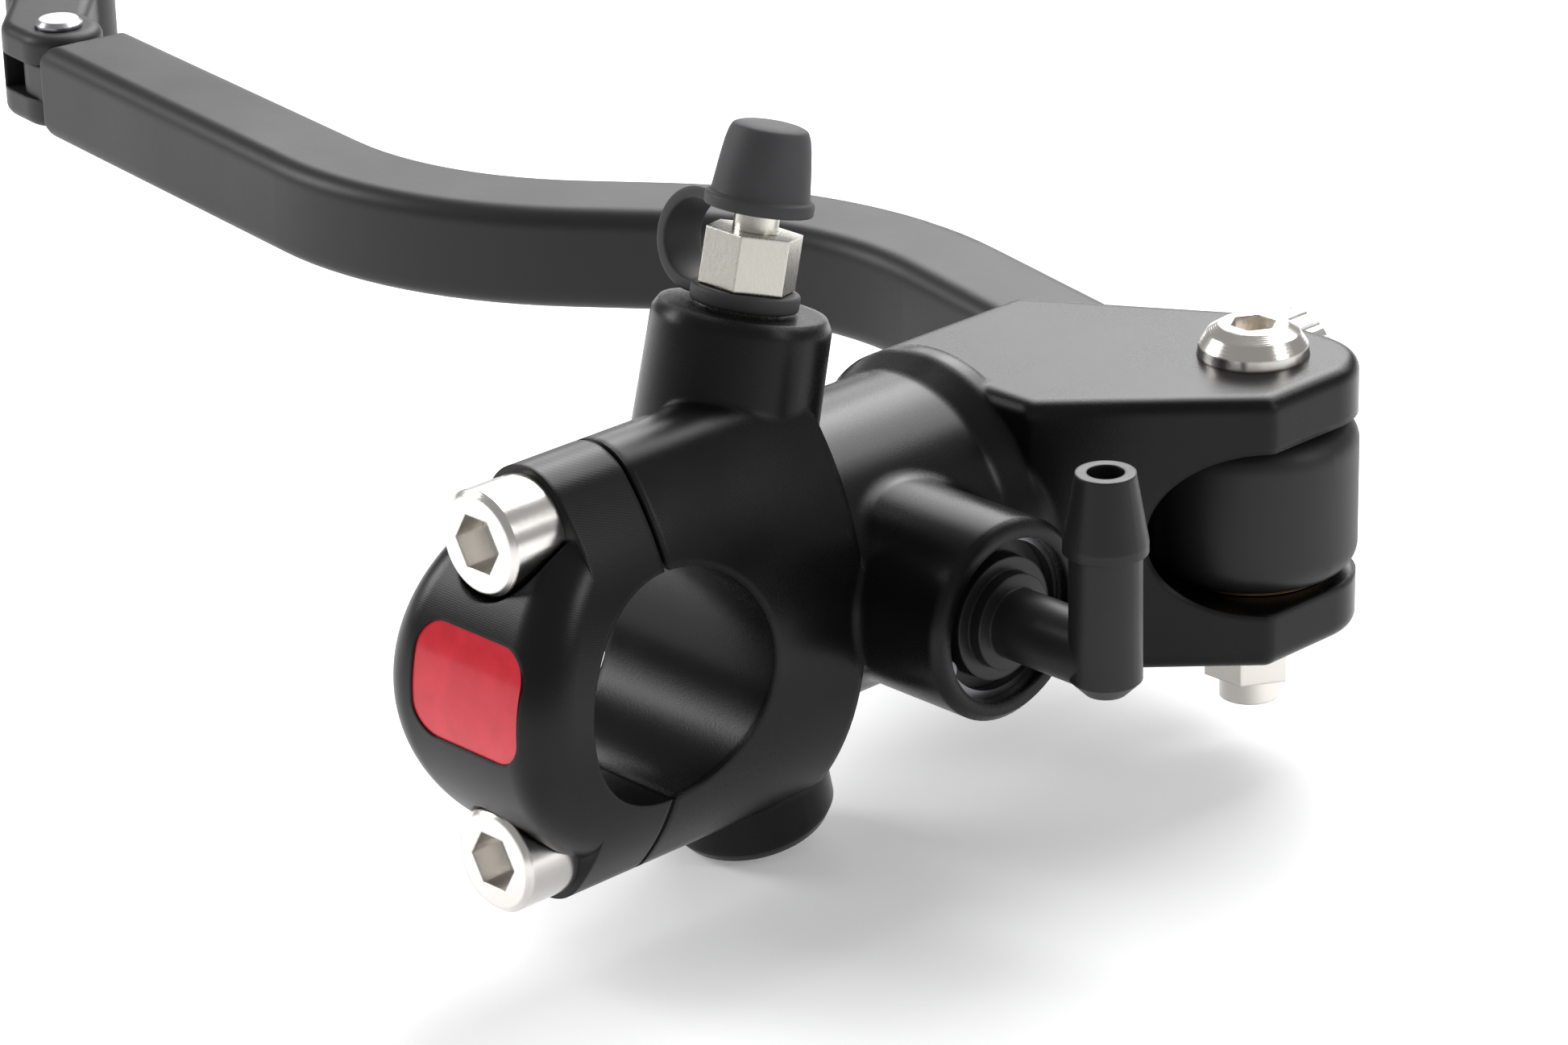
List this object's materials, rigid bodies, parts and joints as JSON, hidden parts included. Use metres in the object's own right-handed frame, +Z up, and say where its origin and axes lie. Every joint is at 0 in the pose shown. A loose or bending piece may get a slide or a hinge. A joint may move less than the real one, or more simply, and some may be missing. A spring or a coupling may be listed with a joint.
{
  "type": "motorcycle brake master cylinder",
  "caption": "Radial brake master cylinder with a half-and-cap handlebar clamp, pivoting lever with folding tip, bleed screw and swivelling reservoir elbow.",
  "frame": {"origin": "centre of the handlebar clamp's bore, midway along it", "axes": "+X along the handlebar towards the reservoir elbow, +Y along the cylinder away from the rider, +Z up towards the bleed screw"},
  "size_m": [0.2381, 0.1185, 0.0704],
  "materials": {
    "anodised": "black hard-anodised, fine bead-blasted",
    "cap_anodised": "black anodised, milled",
    "lever_coat": "satin black powder coat",
    "tip_coat": "satin black powder coat",
    "bright_screw": "bright turned steel",
    "enamel": "red enamel",
    "stainless": "turned stainless steel",
    "bleed_steel": "stainless steel hexagon",
    "rubber_cap": "soft moulded rubber",
    "boot_rubber": "ribbed moulded rubber",
    "elbow_plastic": "glass-filled moulded plastic",
    "seal": "nitrile rubber",
    "spring_steel": "drawn spring wire",
    "piston_alloy": "hard-coated turned alloy",
    "steel": "zinc-plated steel",
    "knob_alloy": "knurled bright alloy",
    "bronze": "sintered bronze"
  },
  "bodies": {
    "housing": {"master_cylinder": "anodised", "clamp_cap": "cap_anodised", "clamp_screws": "bright_screw", "cap_inlay": "enamel", "elbow_circlip": "spring_steel", "return_spring": "spring_steel", "stop_washer": "steel", "piston_circlip": "spring_steel", "dust_boot": "boot_rubber", "pivot_bolt": "stainless", "pivot_nut": "stainless"},
    "piston_group": {"piston": "piston_alloy", "primary_cup": "seal", "secondary_cup": "seal"},
    "lever": {"lever_blade": "lever_coat", "pivot_bush": "bronze", "pivot_washers": "bronze", "tip_pin": "steel"},
    "barrel": {"trunnion": "steel"},
    "rod": {"pushrod": "steel", "adjuster_knob": "knob_alloy"},
    "tip": {"lever_tip": "tip_coat"},
    "elbow": {"reservoir_elbow": "elbow_plastic", "elbow_seal": "seal"},
    "bleed_cover": {"bleed_cap": "rubber_cap"},
    "bleed_screw": {"bleed_nipple": "bleed_steel"}
  },
  "joints": [
    {"name": "lever_pull", "type": "hinge", "parent": "housing", "child": "lever", "pos_m": [0.016, 0.07, 0], "axis": [0, 0, 1], "range_deg": [0, 22], "stiffness_Nm_per_rad": 0.36, "springref_deg": -45.26},
    {"name": "barrel_swing", "type": "hinge", "parent": "lever", "child": "barrel", "pos_m": [-0.00381, 0.07385, 0], "axis": [0, 0, 1], "range_deg": [-22, 0]},
    {"name": "rod_turn", "type": "hinge", "parent": "barrel", "child": "rod", "pos_m": [-0.00381, 0.07385, 0], "axis": [0, 1, 0], "range_deg": [-360, 360]},
    {"name": "piston_slide", "type": "slide", "parent": "housing", "child": "piston_group", "axis": [0, -1, 0], "range_m": [0, 0.0078], "deforming": ["return_spring", "dust_boot"]},
    {"name": "tip_fold", "type": "hinge", "parent": "lever", "child": "tip", "pos_m": [-0.178, 0.0726, 0], "axis": [0, 0, -1], "range_deg": [0, 75]},
    {"name": "elbow_swivel", "type": "hinge", "parent": "housing", "child": "elbow", "pos_m": [0, 0.0309, 0], "axis": [1, 0, 0], "continuous": true},
    {"name": "bleed_lift", "type": "slide", "parent": "housing", "child": "bleed_cover", "axis": [0, 0.2419, 0.9703], "range_m": [0, 0.0013]},
    {"name": "bleed_turn", "type": "hinge", "parent": "bleed_cover", "child": "bleed_screw", "pos_m": [-0.004, 0.02223, 0.02659], "axis": [0, 0.2419, 0.9703], "range_deg": [0, 360]}
  ],
  "couplings": [
    {"joint": "barrel_swing", "follows": "lever_pull", "ratio": -1},
    {"joint": "piston_slide", "follows": "lever_pull", "m_per_rad": 0.020062},
    {"joint": "bleed_lift", "follows": "bleed_turn", "m_per_rad": 0.00019894}
  ]
}
